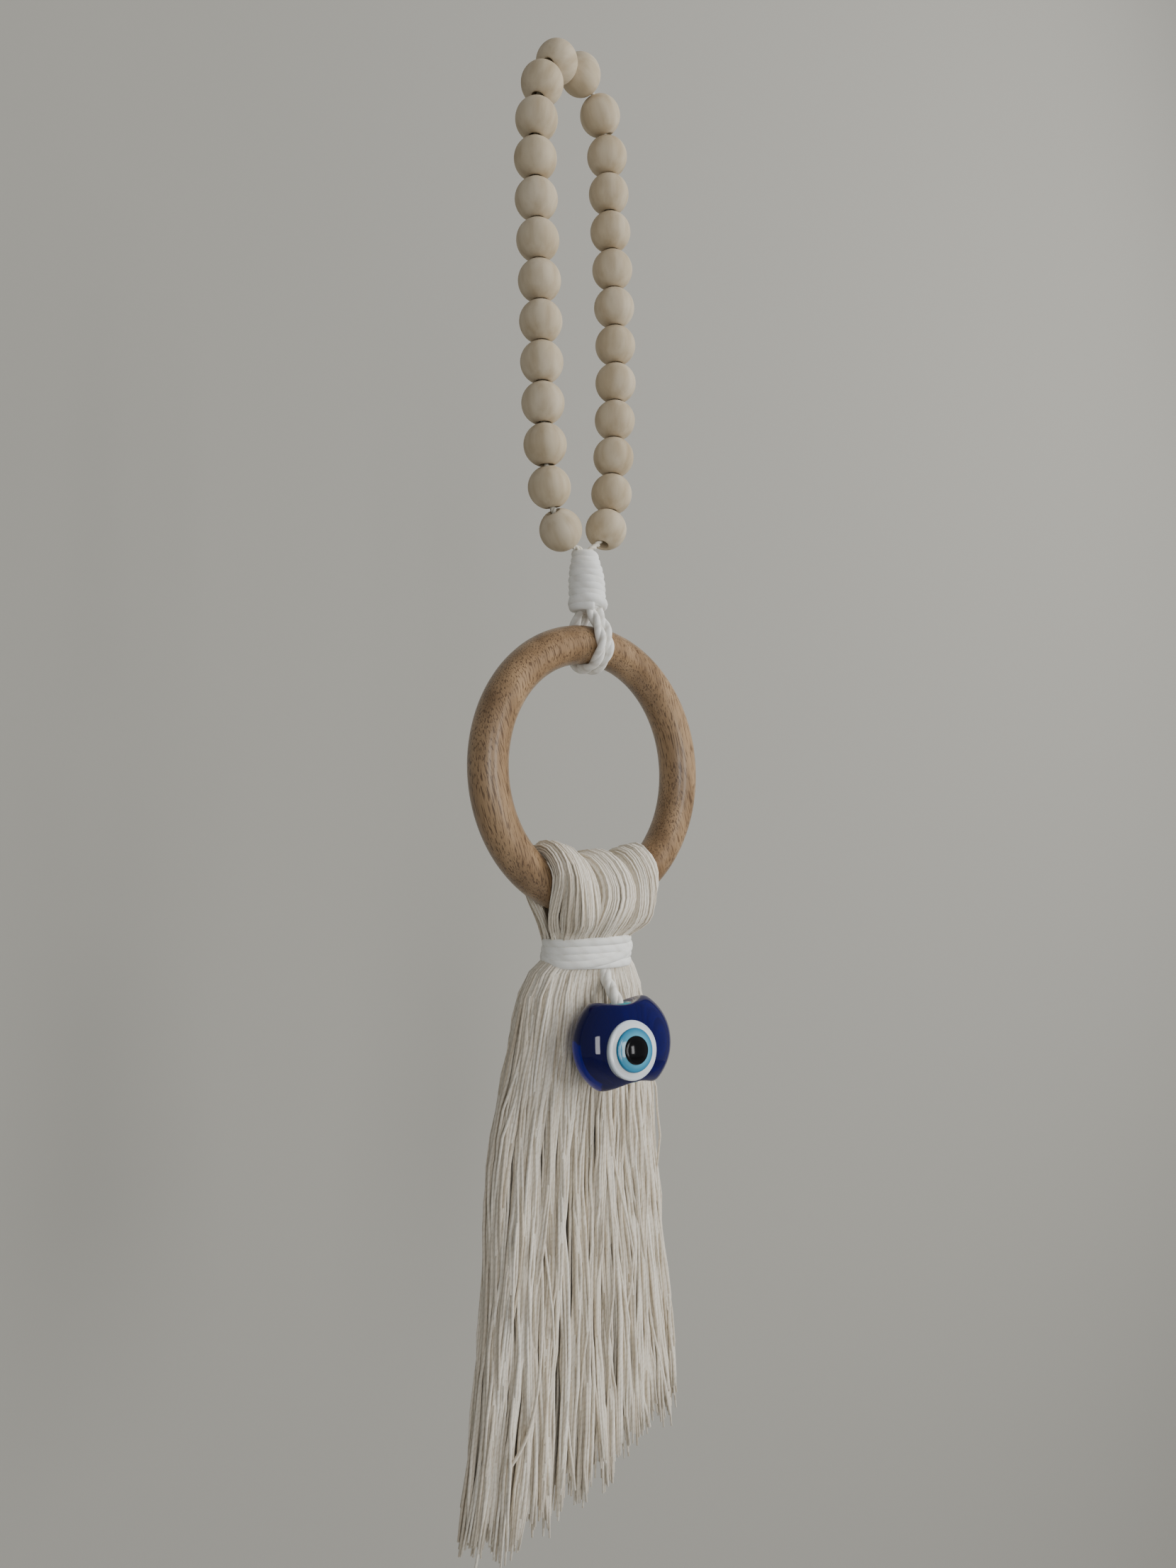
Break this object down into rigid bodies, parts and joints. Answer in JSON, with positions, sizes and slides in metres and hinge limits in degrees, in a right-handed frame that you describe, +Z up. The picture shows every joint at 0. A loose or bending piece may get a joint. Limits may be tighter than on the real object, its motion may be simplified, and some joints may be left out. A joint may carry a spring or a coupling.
{
  "type": "evil eye wall ornament",
  "caption": "Hanging ornament: a loop of wooden beads, a wooden ring on a cord hitch, a cotton tassel and a glass eye bead.",
  "frame": {"origin": "hang point: the top of the nail, against the inside of the bead loop", "axes": "+Z up, -Y out of the front, where the eye bead hangs, +X to the right seen from the front"},
  "size_m": [0.0694, 0.0373, 0.3521],
  "materials": {
    "bead_wood": "bare, sanded smooth, matt",
    "ring_beech": "clear varnish, satin to glossy",
    "string_cotton": "thin twisted cotton",
    "hitch_cotton": "soft twisted cotton cord",
    "wrap_cotton": "soft whitened cotton cord",
    "hank_yarn": "unbleached cotton yarn",
    "cobalt_glass": "fire-polished, glossy",
    "turquoise_glass": "fire-polished, glossy",
    "white_glass": "opaque glass, glossy",
    "light_blue_glass": "opaque glass, glossy",
    "black_glass": "opaque glass, glossy"
  },
  "bodies": {
    "loop": {"bead_string": "string_cotton", "neck_wrap": "wrap_cotton"},
    "hitch": {"ring_hitch": "hitch_cotton"},
    "ring": {"wood_ring": "ring_beech"},
    "tassel_head": {"left_hank_head": "hank_yarn", "middle_hank_head": "hank_yarn", "right_hank_head": "hank_yarn", "tassel_wrap": "wrap_cotton"},
    "tassel_skirt": {"left_hank_skirt": "hank_yarn", "middle_hank_skirt": "hank_yarn", "right_hank_skirt": "hank_yarn"},
    "eye_hanger": {"eye_string": "hitch_cotton"},
    "eye_bead": {"eye_glass": "cobalt_glass", "eye_core": "turquoise_glass", "eye_white": "white_glass", "eye_light_blue": "light_blue_glass", "eye_pupil": "black_glass"},
    "bead_01": {"wood_bead_01": "bead_wood"},
    "bead_02": {"wood_bead_02": "bead_wood"},
    "bead_03": {"wood_bead_03": "bead_wood"},
    "bead_04": {"wood_bead_04": "bead_wood"},
    "bead_05": {"wood_bead_05": "bead_wood"},
    "bead_06": {"wood_bead_06": "bead_wood"},
    "bead_07": {"wood_bead_07": "bead_wood"},
    "bead_08": {"wood_bead_08": "bead_wood"},
    "bead_09": {"wood_bead_09": "bead_wood"},
    "bead_10": {"wood_bead_10": "bead_wood"},
    "bead_11": {"wood_bead_11": "bead_wood"},
    "bead_12": {"wood_bead_12": "bead_wood"},
    "bead_13": {"wood_bead_13": "bead_wood"},
    "bead_14": {"wood_bead_14": "bead_wood"},
    "bead_15": {"wood_bead_15": "bead_wood"},
    "bead_16": {"wood_bead_16": "bead_wood"},
    "bead_17": {"wood_bead_17": "bead_wood"},
    "bead_18": {"wood_bead_18": "bead_wood"},
    "bead_19": {"wood_bead_19": "bead_wood"},
    "bead_20": {"wood_bead_20": "bead_wood"},
    "bead_21": {"wood_bead_21": "bead_wood"},
    "bead_22": {"wood_bead_22": "bead_wood"},
    "bead_23": {"wood_bead_23": "bead_wood"},
    "bead_24": {"wood_bead_24": "bead_wood"},
    "bead_25": {"wood_bead_25": "bead_wood"},
    "bead_26": {"wood_bead_26": "bead_wood"}
  },
  "joints": [
    {"name": "neck_sway", "type": "hinge", "parent": "loop", "child": "hitch", "pos_m": [0, 0, -0.1303], "axis": [0, 1, 0], "range_deg": [-15, 15]},
    {"name": "ring_swing", "type": "hinge", "parent": "hitch", "child": "ring", "pos_m": [0, 0, -0.138], "axis": [1, 0, 0], "range_deg": [-45, 45]},
    {"name": "tassel_swing", "type": "hinge", "parent": "ring", "child": "tassel_head", "pos_m": [0, 0, -0.198], "axis": [1, 0, 0], "range_deg": [-15, 15]},
    {"name": "skirt_sway", "type": "hinge", "parent": "tassel_head", "child": "tassel_skirt", "pos_m": [0, 0.003, -0.21435], "axis": [0, 1, 0], "range_deg": [-20, 20]},
    {"name": "eye_swing", "type": "hinge", "parent": "tassel_head", "child": "eye_hanger", "pos_m": [0, -0.0052, -0.2158], "axis": [-1, 0, 0], "range_deg": [0, 45]},
    {"name": "eye_turn", "type": "hinge", "parent": "eye_hanger", "child": "eye_bead", "pos_m": [-0.0012, -0.0127, -0.2306], "axis": [-0.0523, 0.1182, 0.9916], "range_deg": [-10, 20]},
    {"name": "bead_01_spin", "type": "hinge", "parent": "loop", "child": "bead_01", "pos_m": [-0.00855, 0.00048, -0.11134], "axis": [-0.5986, -0.0764, 0.7974], "continuous": true},
    {"name": "bead_02_spin", "type": "hinge", "parent": "loop", "child": "bead_02", "pos_m": [-0.01249, -0.00006, -0.10198], "axis": [-0.2224, -0.0339, 0.9744], "continuous": true},
    {"name": "bead_03_spin", "type": "hinge", "parent": "loop", "child": "bead_03", "pos_m": [-0.01402, -0.00029, -0.09225], "axis": [-0.1101, -0.0163, 0.9938], "continuous": true},
    {"name": "bead_04_spin", "type": "hinge", "parent": "loop", "child": "bead_04", "pos_m": [-0.01479, -0.0004, -0.08252], "axis": [-0.0534, -0.0052, 0.9986], "continuous": true},
    {"name": "bead_05_spin", "type": "hinge", "parent": "loop", "child": "bead_05", "pos_m": [-0.01516, -0.00041, -0.07283], "axis": [-0.0293, 0.0008, 0.9996], "continuous": true},
    {"name": "bead_06_spin", "type": "hinge", "parent": "loop", "child": "bead_06", "pos_m": [-0.01547, -0.0004, -0.06316], "axis": [-0.0388, 0.0015, 0.9992], "continuous": true},
    {"name": "bead_07_spin", "type": "hinge", "parent": "loop", "child": "bead_07", "pos_m": [-0.01591, -0.00039, -0.0535], "axis": [-0.0517, 0.0004, 0.9987], "continuous": true},
    {"name": "bead_08_spin", "type": "hinge", "parent": "loop", "child": "bead_08", "pos_m": [-0.01643, -0.00039, -0.04386], "axis": [-0.0532, -0.0005, 0.9986], "continuous": true},
    {"name": "bead_09_spin", "type": "hinge", "parent": "loop", "child": "bead_09", "pos_m": [-0.01691, -0.0004, -0.0342], "axis": [-0.0437, -0.0012, 0.999], "continuous": true},
    {"name": "bead_10_spin", "type": "hinge", "parent": "loop", "child": "bead_10", "pos_m": [-0.0172, -0.0004, -0.02448], "axis": [-0.0067, 0.0024, 1], "continuous": true},
    {"name": "bead_11_spin", "type": "hinge", "parent": "loop", "child": "bead_11", "pos_m": [-0.01681, -0.0003, -0.01465], "axis": [0.096, 0.0201, 0.9952], "continuous": true},
    {"name": "bead_12_spin", "type": "hinge", "parent": "loop", "child": "bead_12", "pos_m": [-0.01479, 0.00012, -0.00482], "axis": [0.3412, 0.0722, 0.9372], "continuous": true},
    {"name": "bead_13_spin", "type": "hinge", "parent": "loop", "child": "bead_13", "pos_m": [-0.00917, 0.00146, 0.00359], "axis": [0.762, 0.2076, 0.6134], "continuous": true},
    {"name": "bead_14_spin", "type": "hinge", "parent": "loop", "child": "bead_14", "pos_m": [0.00058, 0.00399, 0.00592], "axis": [0.943, 0.1996, -0.2661], "continuous": true},
    {"name": "bead_15_spin", "type": "hinge", "parent": "loop", "child": "bead_15", "pos_m": [0.00823, 0.00516, -0.00096], "axis": [0.4281, 0.0259, -0.9034], "continuous": true},
    {"name": "bead_16_spin", "type": "hinge", "parent": "loop", "child": "bead_16", "pos_m": [0.01058, 0.00513, -0.01081], "axis": [0.0831, -0.0181, -0.9964], "continuous": true},
    {"name": "bead_17_spin", "type": "hinge", "parent": "loop", "child": "bead_17", "pos_m": [0.011, 0.00497, -0.02052], "axis": [0.0446, -0.0076, -0.999], "continuous": true},
    {"name": "bead_18_spin", "type": "hinge", "parent": "loop", "child": "bead_18", "pos_m": [0.01158, 0.00497, -0.03021], "axis": [0.0705, 0.0045, -0.9975], "continuous": true},
    {"name": "bead_19_spin", "type": "hinge", "parent": "loop", "child": "bead_19", "pos_m": [0.01227, 0.00501, -0.03984], "axis": [0.0694, 0.0029, -0.9976], "continuous": true},
    {"name": "bead_20_spin", "type": "hinge", "parent": "loop", "child": "bead_20", "pos_m": [0.01287, 0.00502, -0.04951], "axis": [0.0527, -0.0005, -0.9986], "continuous": true},
    {"name": "bead_21_spin", "type": "hinge", "parent": "loop", "child": "bead_21", "pos_m": [0.01325, 0.00501, -0.05921], "axis": [0.0227, -0.0028, -0.9997], "continuous": true},
    {"name": "bead_22_spin", "type": "hinge", "parent": "loop", "child": "bead_22", "pos_m": [0.01328, 0.00497, -0.06894], "axis": [-0.0175, -0.0067, -0.9998], "continuous": true},
    {"name": "bead_23_spin", "type": "hinge", "parent": "loop", "child": "bead_23", "pos_m": [0.01291, 0.00485, -0.07866], "axis": [-0.0573, -0.0193, -0.9982], "continuous": true},
    {"name": "bead_24_spin", "type": "hinge", "parent": "loop", "child": "bead_24", "pos_m": [0.01217, 0.00456, -0.08836], "axis": [-0.0948, -0.0403, -0.9947], "continuous": true},
    {"name": "bead_25_spin", "type": "hinge", "parent": "loop", "child": "bead_25", "pos_m": [0.011, 0.00404, -0.09807], "axis": [-0.1621, -0.0698, -0.9843], "continuous": true},
    {"name": "bead_26_spin", "type": "hinge", "parent": "loop", "child": "bead_26", "pos_m": [0.00832, 0.00312, -0.10771], "axis": [-0.4048, -0.115, -0.9072], "continuous": true}
  ]
}
